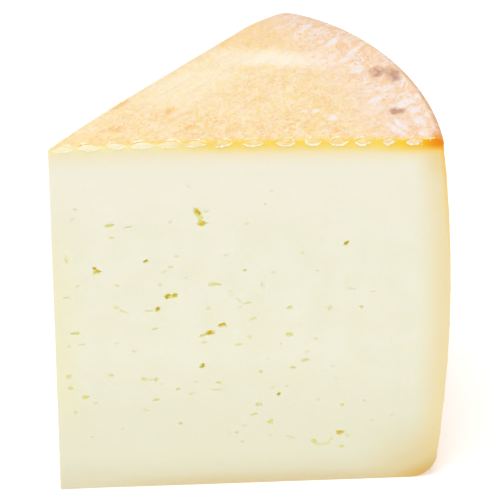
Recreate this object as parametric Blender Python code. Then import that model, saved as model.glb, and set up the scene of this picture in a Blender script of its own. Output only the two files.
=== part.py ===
"""A cut wedge of smoked sheep cheese, standing on its flat base.

Metres, +Z up. The origin is the middle of the base. The front cut faces -Y,
the sharp tip of the wedge is at -X and the curved wall of the wheel at +X.
The wheel's own centre line is the tip edge, where both cuts meet.
"""
import math
import random

import bmesh
import bpy
from mathutils import Matrix, Vector

MM = 0.001

# The wheel that the wedge was cut from
WHEEL_RADIUS = 93.5 * MM
WHEEL_HEIGHT = 102.2 * MM
CUT_ANGLE = math.radians(48.1)
RIM_DROP = 1.4 * MM
WALL_BULGE = 3.0 * MM
BASE_FLARE = 1.2 * MM

# The middle of the wheel is sunk a little, so the tip is lower than the top around it
TIP_DIP = 1.0 * MM
TIP_DIP_REACH = 10.0 * MM

# The rim is crisp at the front cut and worn to a soft slope at the back cut
RIM_FRONT = (2.0 * MM, 1.2 * MM)
RIM_BACK = (25.4 * MM, 6.2 * MM)
RIM_BLEND = 4.6
RIM_FULLNESS = 1.85
BASE_ROUND = (6.5 * MM, 7.6 * MM)

# Facets of the loft
TURN_STEPS = 18
TOP_RINGS = 8
TOP_RING_CROWDING = 1.7
RIM_STEPS = 7
WALL_STEPS = 7
BASE_STEPS = 5

# Grooves that the plaited mould pressed into the top, which run along the back cut.
# The pitch is the one that shows on the front cut's top edge.
GROOVE_START = 0.8 * MM
GROOVE_PITCH = 6.35 * MM
GROOVE_COUNT = 13
GROOVE_DEPTH = 0.55 * MM
GROOVE_RADIUS = 1.1 * MM
GROOVE_OVERRUN = 4.0 * MM
GROOVE_STEPS = 12

# Eyes of the front cut that show best, in millimetres and degrees:
# from the tip, up from the base, length, width, tilt
FRONT_EYES = (
    (35.0, 82.0, 3.4, 2.0, -66),
    (36.0, 79.0, 2.8, 1.5, 5),
    (10.5, 66.0, 2.4, 2.2, -30),
    (28.5, 58.0, 3.0, 1.6, -5),
    (25.5, 54.0, 1.8, 1.5, 60),
    (37.5, 46.5, 3.8, 1.3, 18),
    (41.0, 49.0, 2.5, 1.4, 7),
    (70.5, 15.0, 2.3, 1.5, 0),
    (55.0, 27.5, 1.4, 1.3, 15),
    (71.0, 72.0, 2.2, 1.1, 48),
    (36.0, 37.5, 2.0, 1.4, 64),
    (57.5, 45.5, 2.2, 1.5, -5),
    (21.5, 33.5, 1.8, 1.4, -20),
    (25.0, 33.0, 2.4, 1.4, -25),
    (22.5, 68.5, 1.7, 1.0, 28),
    (53.0, 19.0, 1.9, 1.7, -20),
    (49.0, 21.5, 2.0, 1.0, 15),
    (3.0, 35.0, 1.9, 1.3, -12),
    (40.0, 31.5, 1.9, 1.0, 0),
    (64.5, 12.0, 2.6, 1.3, -35),
    (67.5, 12.0, 2.4, 1.1, 38),
    (7.0, 28.5, 2.3, 1.2, 5),
    (14.0, 79.0, 2.6, 1.1, 8),
    (57.5, 53.5, 2.0, 1.2, 24),
    (61.5, 37.5, 2.3, 1.1, 16),
    (50.0, 24.5, 2.0, 1.4, 8),
    (67.5, 53.0, 2.1, 1.1, 88),
    (39.0, 61.0, 3.2, 1.1, 3),
    (3.5, 69.5, 2.6, 1.2, -83),
    (58.5, 35.5, 1.8, 1.1, 5),
    (43.5, 58.0, 2.6, 1.3, -56),
    (47.0, 55.5, 2.2, 1.0, 5),
    (51.0, 60.5, 2.3, 1.2, -70),
    (15.5, 54.5, 2.2, 1.1, -28),
)

# Eyes of the back cut, which are drawn at random with the same spread
BACK_EYE_COUNT = 34
BACK_EYE_LENGTH = (1.8, 4.2)
BACK_EYE_SLIMNESS = (0.4, 0.75)
BACK_EYE_TILT = 50
BACK_EYE_FROM_TIP = (6.0, 78.0)
BACK_EYE_FROM_BASE = (10.0, 88.0)
BACK_EYE_SPACING = 4.0
SEED = 20

EYE_DEPTH = 1.3
EYE_UNEVENNESS = 0.16

SMOOTH_ANGLE = math.radians(28)
SAME_POINT = 0.00001


def start_empty():
    """Remove what is in the scene, and its unused meshes and collections."""
    for old in list(bpy.data.objects):
        bpy.data.objects.remove(old, do_unlink=True)
    for old in list(bpy.data.collections):
        bpy.data.collections.remove(old)


def new_collection(name):
    made = bpy.data.collections.new(name)
    bpy.context.scene.collection.children.link(made)
    return made


def wall_radius(height):
    """Radius of the wheel's bulging wall at a height above the base."""
    share = height / (WHEEL_HEIGHT - RIM_DROP)
    return WHEEL_RADIUS + BASE_FLARE * (1 - share) + WALL_BULGE * 4 * share * (1 - share)


def rim_size(turn):
    """Width and depth of the rounded rim at an angle from the front cut."""
    share = min(max(turn / CUT_ANGLE, 0.0), 1.0) ** RIM_BLEND
    return tuple(near + (far - near) * share for near, far in zip(RIM_FRONT, RIM_BACK))


def top_height(radius):
    """Height of the top, which falls gently to the rim and dips at the middle."""
    dome = RIM_DROP * (radius / WHEEL_RADIUS) ** 2
    return WHEEL_HEIGHT - dome - TIP_DIP * math.exp(-radius / TIP_DIP_REACH)


def rim_start(turn):
    """Radius at which the top ends and the rim begins to fall."""
    width, depth = rim_size(turn)
    return wall_radius(WHEEL_HEIGHT - RIM_DROP - depth) - width


def surface_height(radius, turn):
    """Height of the rind over any point of the wedge, with the rim's fall."""
    width, depth = rim_size(turn)
    start = rim_start(turn)
    if radius <= start:
        return top_height(radius)
    share = min((radius - start) / width, 1.0)
    fall = 1 - (1 - share ** RIM_FULLNESS) ** (1 / RIM_FULLNESS)
    return top_height(start) - depth * fall


def section(turn):
    """Outline (radius, height) from near the centre line, over the rim, to the base."""
    width, depth = rim_size(turn)
    start = rim_start(turn)
    points = []
    for ring in range(1, TOP_RINGS + 1):
        radius = start * (ring / TOP_RINGS) ** TOP_RING_CROWDING
        points.append((radius, top_height(radius)))
    rim_foot = top_height(start) - depth
    power = 2 / RIM_FULLNESS
    for step in range(1, RIM_STEPS + 1):
        angle = math.pi / 2 * step / RIM_STEPS
        out = width * math.sin(angle) ** power
        up = depth * max(math.cos(angle), 0.0) ** power
        points.append((start + out, rim_foot + up))
    base_width, base_depth = BASE_ROUND
    for step in range(1, WALL_STEPS + 1):
        height = rim_foot + (base_depth - rim_foot) * step / WALL_STEPS
        points.append((wall_radius(height), height))
    for step in range(1, BASE_STEPS + 1):
        angle = math.pi / 2 * step / BASE_STEPS
        inward = base_width * (1 - math.cos(angle))
        points.append((wall_radius(base_depth) - inward, base_depth * (1 - math.sin(angle))))
    return points


def on_wheel(radius, turn, height):
    return Vector((radius * math.cos(turn), radius * math.sin(turn), height))


def build_wedge(collection, material):
    """Loft the sections round the wedge's angle and close the two cuts."""
    shape = bmesh.new()
    tip_top = shape.verts.new((0, 0, top_height(0)))
    tip_base = shape.verts.new((0, 0, 0))
    rows = []
    for step in range(TURN_STEPS + 1):
        turn = CUT_ANGLE * step / TURN_STEPS
        rows.append([shape.verts.new(on_wheel(radius, turn, height))
                     for radius, height in section(turn)])
    for near, far in zip(rows, rows[1:]):
        shape.faces.new((tip_top, near[0], far[0]))
        for upper in range(len(near) - 1):
            shape.faces.new((near[upper], near[upper + 1], far[upper + 1], far[upper]))
        shape.faces.new((near[-1], tip_base, far[-1]))
    shape.faces.new([tip_top, tip_base] + rows[0][::-1])
    shape.faces.new([tip_base, tip_top] + rows[-1])
    bmesh.ops.recalc_face_normals(shape, faces=shape.faces)
    mesh = bpy.data.meshes.new("cheese_wedge")
    shape.to_mesh(mesh)
    shape.free()
    mesh.materials.append(material)
    wedge = bpy.data.objects.new("cheese_wedge", mesh)
    collection.objects.link(wedge)
    return wedge


def hide_cutter(cutter):
    cutter.hide_render = True
    cutter.display_type = "WIRE"


def groove_path(crossing):
    """Points above the top along one groove, which starts at the front cut."""
    along = Vector((math.cos(CUT_ANGLE), math.sin(CUT_ANGLE), 0))
    start = Vector((crossing, 0, 0))
    side = crossing * math.sin(CUT_ANGLE)
    reach = math.sqrt(WHEEL_RADIUS ** 2 - side ** 2) - crossing * math.cos(CUT_ANGLE)
    lift = GROOVE_RADIUS - GROOVE_DEPTH
    points = []
    for step in range(GROOVE_STEPS + 1):
        place = start + along * (reach * step / GROOVE_STEPS)
        height = surface_height(place.length, math.atan2(place.y, place.x))
        points.append(Vector((place.x, place.y, height + lift)))
    first = points[0] + (points[0] - points[1]).normalized() * GROOVE_OVERRUN
    last = points[-1] + (points[-1] - points[-2]).normalized() * GROOVE_OVERRUN
    return [first] + points + [last]


def build_groove(number, collection):
    """A round bar laid along a groove's path, made a closed mesh."""
    path = groove_path(GROOVE_START + number * GROOVE_PITCH)
    curve = bpy.data.curves.new("groove_line", "CURVE")
    curve.dimensions = "3D"
    curve.bevel_depth = GROOVE_RADIUS
    curve.bevel_resolution = 2
    curve.use_fill_caps = True
    spline = curve.splines.new("POLY")
    spline.points.add(len(path) - 1)
    for point, place in zip(spline.points, path):
        point.co = (*place, 1)
    line = bpy.data.objects.new("groove_line", curve)
    collection.objects.link(line)
    seen = line.evaluated_get(bpy.context.evaluated_depsgraph_get())
    mesh = bpy.data.meshes.new_from_object(seen)
    bar = bpy.data.objects.new(f"groove_{number:02d}", mesh)
    bar.matrix_world = line.matrix_world.copy()
    bpy.data.objects.remove(line, do_unlink=True)
    shape = bmesh.new()
    shape.from_mesh(mesh)
    bmesh.ops.remove_doubles(shape, verts=shape.verts, dist=SAME_POINT)
    bmesh.ops.recalc_face_normals(shape, faces=shape.faces)
    shape.to_mesh(mesh)
    shape.free()
    collection.objects.link(bar)
    hide_cutter(bar)


def build_eye(name, eye, face_turn, draw, collection):
    """A squashed, uneven pebble half sunk in a cut, which leaves one eye."""
    from_tip, from_base, length, width, tilt = eye
    shape = bmesh.new()
    bmesh.ops.create_icosphere(shape, subdivisions=1, radius=1.0)
    for vert in shape.verts:
        vert.co *= 1 + draw.uniform(-EYE_UNEVENNESS, EYE_UNEVENNESS)
    size = Matrix.Diagonal((length / 2, EYE_DEPTH, width / 2, 1))
    lean = Matrix.Rotation(math.radians(-tilt), 4, "Y")
    place = Matrix.Translation((from_tip, 0, from_base))
    face = Matrix.Rotation(face_turn, 4, "Z")
    shape.transform(Matrix.Scale(MM, 4) @ face @ place @ lean @ size)
    mesh = bpy.data.meshes.new(name)
    shape.to_mesh(mesh)
    shape.free()
    eye_cutter = bpy.data.objects.new(name, mesh)
    collection.objects.link(eye_cutter)
    hide_cutter(eye_cutter)


def draw_back_eyes(draw):
    """Places and sizes of the back cut's eyes, kept apart from each other."""
    eyes = []
    while len(eyes) < BACK_EYE_COUNT:
        from_tip = draw.uniform(*BACK_EYE_FROM_TIP)
        from_base = draw.uniform(*BACK_EYE_FROM_BASE)
        if any(math.dist((from_tip, from_base), eye[:2]) < BACK_EYE_SPACING for eye in eyes):
            continue
        length = draw.uniform(*BACK_EYE_LENGTH)
        width = length * draw.uniform(*BACK_EYE_SLIMNESS)
        tilt = draw.uniform(-BACK_EYE_TILT, BACK_EYE_TILT)
        eyes.append((from_tip, from_base, length, width, tilt))
    return eyes


def cut_away(wedge, cutters):
    cut = wedge.modifiers.new("grooves_and_eyes", "BOOLEAN")
    cut.operation = "DIFFERENCE"
    cut.operand_type = "COLLECTION"
    cut.collection = cutters
    cut.solver = "EXACT"


def cheese_material():
    """Pale sheep's milk paste, which the peach rind is too thin to hide in one solid."""
    material = bpy.data.materials.new("cheese")
    material.use_nodes = True
    shader = material.node_tree.nodes["Principled BSDF"]
    shader.inputs["Base Color"].default_value = (0.84, 0.78, 0.58, 1)
    shader.inputs["Roughness"].default_value = 0.55
    shader.inputs["Metallic"].default_value = 0.0
    return material


def centre_on_base(objects, wedge):
    """Move everything so that the origin is the middle of the wedge's base box."""
    xs = [vert.co.x for vert in wedge.data.vertices]
    ys = [vert.co.y for vert in wedge.data.vertices]
    shift = Vector((-(min(xs) + max(xs)) / 2, -(min(ys) + max(ys)) / 2, 0))
    for item in objects:
        item.location = item.location + shift


def build():
    start_empty()
    draw = random.Random(SEED)
    parts = new_collection("smoked_sheep_cheese")
    cutters = new_collection("cutters")
    wedge = build_wedge(parts, cheese_material())
    for number in range(1, GROOVE_COUNT + 1):
        build_groove(number, cutters)
    for number, eye in enumerate(FRONT_EYES):
        build_eye(f"front_eye_{number + 1:02d}", eye, 0.0, draw, cutters)
    for number, eye in enumerate(draw_back_eyes(draw)):
        build_eye(f"back_eye_{number + 1:02d}", eye, CUT_ANGLE, draw, cutters)
    cut_away(wedge, cutters)
    wedge.data.shade_smooth()
    wedge.data.set_sharp_from_angle(angle=SMOOTH_ANGLE)
    centre_on_base([wedge] + list(cutters.objects), wedge)


build()
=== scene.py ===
"""A cut wedge of smoked sheep cheese: its rind, its paste with eyes, and a soft studio.

Shapes and patterns are worked out in millimetres from the foot of the wedge's sharp
tip. X runs along the front cut to the outer wall, Y goes back from the front cut and
Z goes up. The wheel's own centre line is the tip edge, where both cuts meet.
"""

import bisect
import math
import random

import bmesh
import bpy
from mathutils import Matrix, Vector, noise


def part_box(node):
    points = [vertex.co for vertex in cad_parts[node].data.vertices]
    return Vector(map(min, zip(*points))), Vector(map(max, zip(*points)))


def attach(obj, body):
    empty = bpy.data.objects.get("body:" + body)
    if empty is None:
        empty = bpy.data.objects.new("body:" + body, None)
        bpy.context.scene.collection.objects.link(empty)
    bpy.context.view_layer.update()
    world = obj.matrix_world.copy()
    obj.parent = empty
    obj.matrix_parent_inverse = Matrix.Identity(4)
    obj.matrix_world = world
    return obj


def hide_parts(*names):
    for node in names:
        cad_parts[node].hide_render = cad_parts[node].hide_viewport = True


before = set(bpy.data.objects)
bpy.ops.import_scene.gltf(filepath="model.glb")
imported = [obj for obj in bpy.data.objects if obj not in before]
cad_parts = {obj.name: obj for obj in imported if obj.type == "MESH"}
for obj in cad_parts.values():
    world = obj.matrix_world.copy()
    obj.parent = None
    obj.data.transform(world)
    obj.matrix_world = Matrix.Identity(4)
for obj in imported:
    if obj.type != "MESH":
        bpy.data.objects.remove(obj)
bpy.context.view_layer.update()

MM = 0.001
SEED = 7

# The wedge's reach, height and angle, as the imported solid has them
LOW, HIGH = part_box("cheese_wedge")
REACH, DEPTH_BACK, CREST = ((high - low) / MM for low, high in zip(LOW, HIGH))
CUT_ANGLE = math.asin(DEPTH_BACK / REACH)
SLOPE_X, SLOPE_Y = math.cos(CUT_ANGLE), math.sin(CUT_ANGLE)

# The wheel that the wedge was cut from
TOP_HEIGHT = CREST + 0.15
TOP_FALL = 1.4
TOP_RADIUS = REACH - 3.6
WALL_CURVE = 12.0
WALL_BELLY = 0.45
TIP_DIP, TIP_DIP_REACH = 1.0, 10.0
RIM_FRONT, RIM_BACK = (2.0, 1.2), (25.4, 6.2)
RIM_BLEND = 4.6
RIM_FULLNESS = 1.85
BASE_ROUND = (6.5, 7.6)

# Ridges that the plaited mould left on the top: where each meets the front cut, and
# how long its cut end is
PLAIT_ENDS = (
    (3.6, 5.1), (9.5, 5.4), (15.8, 4.4), (22.4, 6.0), (28.6, 5.3), (34.8, 5.0), (41.1, 4.3),
    (48.5, 5.5), (56.0, 5.0), (62.5, 4.0), (68.5, 4.5), (74.5, 4.0), (80.5, 3.0), (86.5, 3.5),
)
PLAIT_PITCH = 6.3
GROOVE_DEPTH = 0.48
STRAND_LEAN = math.radians(28)
STRAND_PITCH = 2.4
STRAND_DEPTH, STRAND_CROWDING = 0.10, 0.2
RIDGE_WANDER, WANDER_CROWDING = 0.16, 0.11
GROOVE_LEFT, WEAR_CROWDING = 0.62, 0.09
GROOVE_SHARPNESS = 2.4
RIND_GRAIN, TOP_GRAIN_CROWDING, WALL_GRAIN_CROWDING = 0.05, 0.9, 0.6
GRAIN_SOFTNESS, GRAIN_STEP, GRAIN_OCTAVES = 0.8, 2.0, 3
RELIEF_END, RELIEF_FADE = 92.5, 5.0
RIM_RELIEF = 0.6

# Cut ends of the ridges: a core, and strands round it. The top strand arches back onto
# the rind, the low one hangs under the core, and a middle one lies between them.
# The strands' pale waxy colour is partly a painted highlight on the ridges' rims.
END_HEIGHT = 1.65
END_HEIGHT_SPREAD = (0.85, 1.08)
END_TILT = (-0.22, 0.3)
CORE_BEHIND = 0.24
CORE_HALF_DEPTH = 0.3
CORE_MIDDLE, CORE_HALF_HEIGHT = 0.48, 0.54
CORE_PINCH, CORE_PINCH_POWER = 0.4, 1.5
CORE_LUMPS, CORE_LUMP_CROWDING = 0.25, 1.7
END_BACK = 0.9
MIDDLE_STRAND = (0.5, 0.25)
MIDDLE_STRAND_MISSING = 0.4
LOW_STRAND_START, LOW_STRAND_END = (-0.04, 0.08), (0.85, 1.12)
UPPER_STRAND_START, UPPER_STRAND_END = (0.0, 0.12), (0.5, 0.85)
STRAND_MIRRORED = 0.45
STRAND_SKEW = (0.55, 1.3)
STRAND_TIP_DEPTH = 0.6
STRAND_RISE = 0.75
STRAND_ARCH_POWER = 0.7
STRAND_WOBBLE, WOBBLE_CROWDING = 0.3, 4
STRAND_PROUD = 0.06
STRAND_OVERLAP = 1.04
STRAND_THICKNESS = (0.2, 0.3)
TOP_STRAND_EXTRA = 0.08
STRAND_TIP_GIRTH, STRAND_SWELL, STRAND_SWELL_POWER = 0.35, 0.65, 0.6
STRAND_LUMPS, STRAND_LUMP_CROWDING = 0.9, 1.6
STRAND_FLATNESS = 0.7
STRAND_STEPS = 14
STRAND_SIDES = 8

# Clumps of crumbs at the last ridge ends: place, spread, how far under the top they
# start and end, and how many
CRUMB_CLUMPS = ((80.5, 1.4, 0.3, 1.6, 12), (86.6, 1.8, 0.1, 1.6, 30), (89.6, 1.8, 0.1, 0.5, 6))
CRUMB_SIZE = (0.2, 0.45)
CRUMB_BEHIND = (0.1, 0.7)
CRUMB_STRETCH = (1.2, 0.6, 1.0)
CRUMB_LUMPS, CRUMB_LUMP_CROWDING = 0.5, 1.4

# Patches of the rind on the top: from the tip, back from the front cut, length, width,
# and the angle in degrees along which they are drawn out
BLOOM_PATCHES = (
    (79.0, 18.5, 3.2, 1.3, 40), (86.0, 17.0, 3.8, 1.6, 40), (68.0, 10.5, 1.9, 1.2, 20),
    (65.0, 55.0, 3.0, 1.2, 57), (82.0, 24.0, 2.6, 1.5, 45), (76.0, 33.5, 2.8, 1.6, 60),
    (86.4, 26.0, 3.2, 0.3, 72), (87.3, 25.5, 3.0, 0.25, 74), (88.5, 8.5, 3.0, 1.8, 110),
    (73.5, 38.5, 2.8, 1.3, 60), (71.0, 47.0, 3.8, 1.2, 57), (75.5, 42.0, 3.4, 1.2, 60),
    (88.0, 13.5, 2.2, 1.6, 40), (82.6, 4.9, 4.8, 1.2, 125), (84.2, 6.5, 4.2, 0.9, 118),
    (88.6, 2.5, 1.8, 1.1, 110), (64.4, 14.1, 1.2, 0.9, 20), (61.4, 13.3, 1.0, 0.6, 20),
)
MOULD_PATCHES = (
    (80.6, 32.0, 3.4, 2.4, 60), (84.4, 30.8, 4.6, 2.4, 95), (84.0, 13.2, 2.8, 2.1, 20),
)
PALE_BACK = (34.0, 27.0, 19.0, 10.0, 42)
SMOKY_PATCHES = (
    (15.2, 6.8, 3.8, 1.7, 8), (17.6, 18.2, 3.8, 1.3, 48), (33.5, 7.0, 2.2, 1.4, 30),
    (29.0, 14.5, 3.0, 1.3, 70),
)

# Bands of basket work that the mould pressed into the wall
WALL_BAND = 11.0
WALL_BAND_SHIFT = 0.25
WALL_STRAND_PITCH = 3.4
WALL_STRAND_LEAN = 0.55
WALL_SEAM_SHARPNESS = 8.0
WALL_DEPTH = 0.16
WALL_STRAND_SHARE, WALL_SEAM_SHARE = 0.7, 0.8
WALL_LEFT, WALL_CROWDING = 0.55, 0.07

# Facets
COLUMNS = 176
SPARE_TURN = math.radians(2.5)
APEX_BACK = 4.0
TOP_RINGS = 176
RIM_ROWS = 16
WALL_ROWS = 120
BASE_ROWS = 8
BASE_RINGS = 40

SHARP_ANGLE = math.radians(40)

# The cuts
KNIFE_CELL = 1.5
KNIFE_REACH = 114.0
KNIFE_OVERRUN = 3.0
CUT_INSET = 0.12
CUT_WAVE = 0.06
CUT_DRAG = 0.3 * CUT_WAVE
WAVE_CROWDING, DRAG_CROWDING = (0.035, 0.05), (0.03, 0.8)
CUT_FADE = 6.0
FRONT_WAVES, BACK_WAVES = 0.0, 20.0
FRONT_SIDE, BACK_SIDE = 1, -1

# Eyes of the front cut: from the tip, up from the base, length, width, tilt in degrees,
# and how much wider the right end is than the left. Those that touch make one ragged eye.
DEEP_EYES = (
    (35.1, 82.1, 2.9, 1.4, -62, 0.1), (36.3, 78.9, 2.5, 1.5, 3, -0.5),
    (10.8, 66.0, 2.0, 1.2, 0, -0.6), (10.1, 66.7, 1.5, 0.8, -65, 0), (27.8, 58.0, 1.8, 1.5, 0, 0),
    (29.4, 58.2, 1.7, 1.3, 10, 0.2), (25.3, 54.2, 1.7, 1.0, 70, 0), (38.0, 46.7, 2.6, 1.5, 18, 0),
    (41.0, 48.8, 2.4, 1.2, 8, 0.1), (70.5, 15.0, 2.1, 1.4, 0, 0.1), (55.0, 27.5, 1.1, 1.0, 0, 0),
    (71.0, 72.0, 1.8, 0.8, 48, -0.3), (36.0, 37.0, 1.8, 1.1, 66, -0.4),
    (22.5, 68.5, 1.5, 0.8, 28, 0),
)
MIDDLING_EYES = (
    (35.7, 80.4, 2.4, 1.2, -70, 0), (10.1, 65.5, 1.4, 0.8, 65, 0), (28.6, 57.9, 1.9, 1.2, 0, 0),
    (36.2, 46.0, 2.0, 0.9, 22, 0), (57.5, 45.5, 2.1, 1.2, -5, 0), (53.0, 19.0, 1.8, 1.5, -10, 0.4),
    (21.5, 33.4, 1.5, 1.2, -30, 0), (24.7, 33.2, 1.5, 1.3, 60, 0.2), (49.0, 21.5, 1.7, 0.9, 15, 0),
    (3.0, 35.0, 1.7, 1.2, -12, 0), (3.5, 31.5, 1.6, 1.1, -49, 0), (40.0, 31.5, 1.7, 0.9, 0, 0),
    (64.1, 12.5, 1.9, 1.2, -50, 0.2), (14.0, 79.0, 2.5, 1.0, 8, 0.3), (57.5, 53.5, 1.7, 1.1, 24, 0),
    (61.5, 37.5, 2.1, 1.0, 16, 0.2), (50.0, 24.5, 1.8, 1.2, 8, 0), (39.0, 61.0, 3.2, 1.0, 3, 0),
    (58.5, 35.5, 1.6, 1.0, 0, 0), (71.0, 23.5, 1.3, 0.9, 64, 0), (75.0, 53.0, 1.2, 1.0, -45, 0),
    (71.0, 10.5, 1.6, 0.9, 17, 0), (13.5, 35.0, 1.3, 1.1, 0, 0), (50.5, 34.5, 1.2, 0.9, 0, 0),
    (46.5, 65.0, 1.2, 0.9, 0, 0), (30.5, 19.5, 1.2, 1.0, 0, 0), (44.5, 16.0, 1.1, 0.9, 0, 0),
    (30.0, 30.0, 1.2, 0.8, 0, 0), (24.5, 27.0, 1.7, 0.8, 0, 0), (5.0, 48.0, 2.5, 0.9, 0, 0.2),
    (7.0, 28.5, 2.1, 1.1, 5, 0),
)
FAINT_EYES = (
    (25.8, 31.9, 1.1, 0.8, -30, 0), (23.2, 33.1, 2.0, 0.6, 0, 0), (65.3, 11.2, 2.2, 0.9, -12, 0),
    (67.2, 11.6, 1.8, 0.8, 30, 0), (68.3, 13.0, 1.6, 0.8, 60, 0), (67.5, 53.0, 1.9, 0.9, 88, -0.3),
    (5.5, 81.0, 1.6, 1.1, 70, 0), (43.2, 58.4, 2.4, 1.2, -52, -0.2), (44.9, 56.4, 2.6, 0.7, -52, 0),
    (47.0, 55.3, 2.8, 0.6, 8, 0), (51.0, 60.5, 2.3, 1.1, -70, 0.2), (15.1, 55.0, 1.5, 1.0, -20, 0),
    (16.7, 54.1, 2.6, 0.6, -30, -0.2), (46.5, 18.0, 1.2, 0.9, -40, 0), (37.5, 54.0, 1.4, 1.0, 88, 0),
    (37.0, 82.3, 2.0, 0.9, 5, -0.4), (23.3, 53.9, 2.6, 0.5, 0, 0), (3.5, 69.5, 2.6, 0.8, -83, 0),
    (62.0, 40.0, 1.3, 0.8, 0, 0), (28.5, 66.5, 1.5, 1.0, 0, 0), (26.8, 65.2, 1.6, 0.6, 20, 0),
    (3.5, 58.5, 2.5, 0.8, -8, 0), (26.0, 61.5, 1.2, 0.9, -35, 0), (18.5, 78.5, 2.6, 0.7, 12, 0),
    (48.5, 50.5, 2.2, 0.8, 26, 0), (45.0, 43.0, 1.7, 0.8, -7, 0), (39.5, 29.5, 3.2, 0.6, 0, 0),
    (19.5, 42.0, 1.9, 0.8, -10, 0), (30.0, 69.5, 1.5, 0.8, -14, 0), (32.0, 63.0, 1.0, 0.8, 0, 0),
    (15.0, 44.5, 1.5, 0.8, 0, 0), (64.0, 44.0, 1.3, 0.8, 21, 0), (34.5, 32.0, 1.5, 0.6, 0, 0),
    (3.5, 44.0, 1.5, 0.8, -90, 0), (83.5, 20.0, 1.0, 0.9, 0, 0), (53.5, 64.0, 1.2, 0.8, 0, 0),
    (47.0, 78.5, 1.4, 0.8, 0, 0), (22.0, 24.0, 1.6, 0.6, -25, 0), (33.0, 89.5, 1.0, 0.9, 0, 0),
    (65.0, 25.5, 1.1, 0.9, 0, 0), (6.0, 84.0, 1.2, 1.1, 0, 0), (72.5, 14.0, 1.3, 0.8, -60, 0),
    (76.5, 24.5, 0.9, 0.8, 0, 0), (46.0, 13.0, 1.1, 0.8, 0, 0), (4.5, 24.0, 1.3, 1.0, 0, 0),
    (53.5, 29.5, 1.1, 0.8, 0, 0), (68.5, 35.5, 1.1, 0.8, 0, 0), (57.0, 30.0, 1.0, 0.8, 0, 0),
    (42.0, 69.5, 1.4, 0.7, 0, 0), (60.5, 69.5, 1.4, 0.7, 0, 0), (28.5, 79.5, 1.2, 0.8, 80, 0),
    (36.5, 44.0, 1.5, 0.7, 0, 0), (9.5, 26.5, 1.2, 0.7, 0, 0), (14.5, 75.5, 1.5, 1.0, 10, 0),
    (24.5, 48.5, 2.0, 0.6, 15, 0), (33.5, 28.5, 1.8, 0.8, 25, 0), (78.0, 57.5, 1.4, 0.7, 0, 0),
    (72.5, 58.5, 2.4, 0.7, 0, 0), (58.0, 14.0, 2.3, 0.6, -18, 0), (6.5, 44.5, 1.8, 0.6, 0, 0),
    (15.5, 61.5, 1.5, 0.9, -30, 0), (45.5, 54.0, 1.3, 0.8, 0, 0), (42.8, 15.4, 1.1, 0.7, 0, 0),
)
EYE_DEPTHS = (0.62, 0.29, 0.16)

# Pinholes and slits too small to place one by one, and all the eyes of the back cut
PINHOLES = 12
PINHOLE_LENGTH = (0.7, 1.5)
BACK_EYES = 78
BACK_EYE_LENGTH = (0.9, 3.4)
EYE_SLIMNESS = (0.35, 0.9)
EYE_ZONE_OUT = (3.0, 80.0)
EYE_ZONE_UP = (9.0, 88.0)
EYE_TILTS = (-50, 60)
EYE_TAPERS = (-0.4, 0.4)
EYE_LEAST_WIDTH = 0.5
EYE_SPACING = 3.0
EYE_LUMPS = 0.52
EYE_LUMP_CROWDING = 1.6
EYE_BEND = 0.25
EYE_BREADTH = 1.2
EYE_SETS = 4
EYE_CLEARANCE = 0.75
FINE_EYE = 1.7
BACK_DEEP_SHARE = 0.5


# The wheel's outer surface

def wall_radius(height):
    """Radius of the wheel's bulging wall at a height above the base."""
    share = height / (CREST - TOP_FALL)
    return REACH - WALL_CURVE * (share - WALL_BELLY) ** 2


def rim_size(turn):
    """Width and depth of the rounded rim at an angle from the front cut."""
    share = min(max(turn / CUT_ANGLE, 0.0), 1.0) ** RIM_BLEND
    return tuple(near + (far - near) * share for near, far in zip(RIM_FRONT, RIM_BACK))


def top_height(radius):
    """Height of the smooth top, which falls gently to the rim and dips at the middle."""
    dome = TOP_FALL * (radius / TOP_RADIUS) ** 2
    return TOP_HEIGHT - dome - TIP_DIP * math.exp(-radius / TIP_DIP_REACH)


PLAIT_PLACES = [place for place, length in PLAIT_ENDS]


def ridge_number(crossing):
    """Counts ridges from the tip: a whole number on a crest, a half in a groove."""
    if crossing <= PLAIT_PLACES[0]:
        return (crossing - PLAIT_PLACES[0]) / PLAIT_PITCH
    if crossing >= PLAIT_PLACES[-1]:
        return len(PLAIT_PLACES) - 1 + (crossing - PLAIT_PLACES[-1]) / PLAIT_PITCH
    after = bisect.bisect_right(PLAIT_PLACES, crossing)
    before = PLAIT_PLACES[after - 1]
    return after - 1 + (crossing - before) / (PLAIT_PLACES[after] - before)


def wave(turns):
    """A smooth swing from 0 to 1 and back over each whole turn."""
    return 0.5 - 0.5 * math.cos(math.tau * turns)


def uneven(x, y, crowding, layer):
    """Smooth chance hills and hollows from -1 to 1, closer together with more crowding."""
    return noise.noise(Vector((x * crowding, y * crowding, layer)))


def grain(x, y, crowding, layer):
    """Fine chance roughness, closer together with more crowding."""
    place = Vector((x * crowding, y * crowding, layer))
    return noise.fractal(place, GRAIN_SOFTNESS, GRAIN_STEP, GRAIN_OCTAVES)


def top_relief(x, y):
    """How far the top's ridges, strands and grain lie below the smooth surface."""
    number = ridge_number(x - y * SLOPE_X / SLOPE_Y)
    along = y / SLOPE_Y
    wander = RIDGE_WANDER * uneven(x, y, WANDER_CROWDING, 3.0)
    groove = wave(number + wander) ** GROOVE_SHARPNESS
    worn = GROOVE_LEFT + (1 - GROOVE_LEFT) * uneven(x, y, WEAR_CROWDING, 9.0)
    across = abs((number + wander + 0.5) % 1 - 0.5) * PLAIT_PITCH
    strand = wave(along / STRAND_PITCH + across / math.tan(STRAND_LEAN) / STRAND_PITCH)
    patchy = 0.5 + 0.5 * uneven(x, y, STRAND_CROWDING, 5.0)
    rough = 1 + grain(x, y, TOP_GRAIN_CROWDING, 1.0)
    inside = min(max((RELIEF_END - math.hypot(x, y)) / RELIEF_FADE, 0.0), 1.0)
    return inside * (GROOVE_DEPTH * groove * min(worn, 1.0) + STRAND_DEPTH * strand * patchy
                     + RIND_GRAIN * rough)


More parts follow.
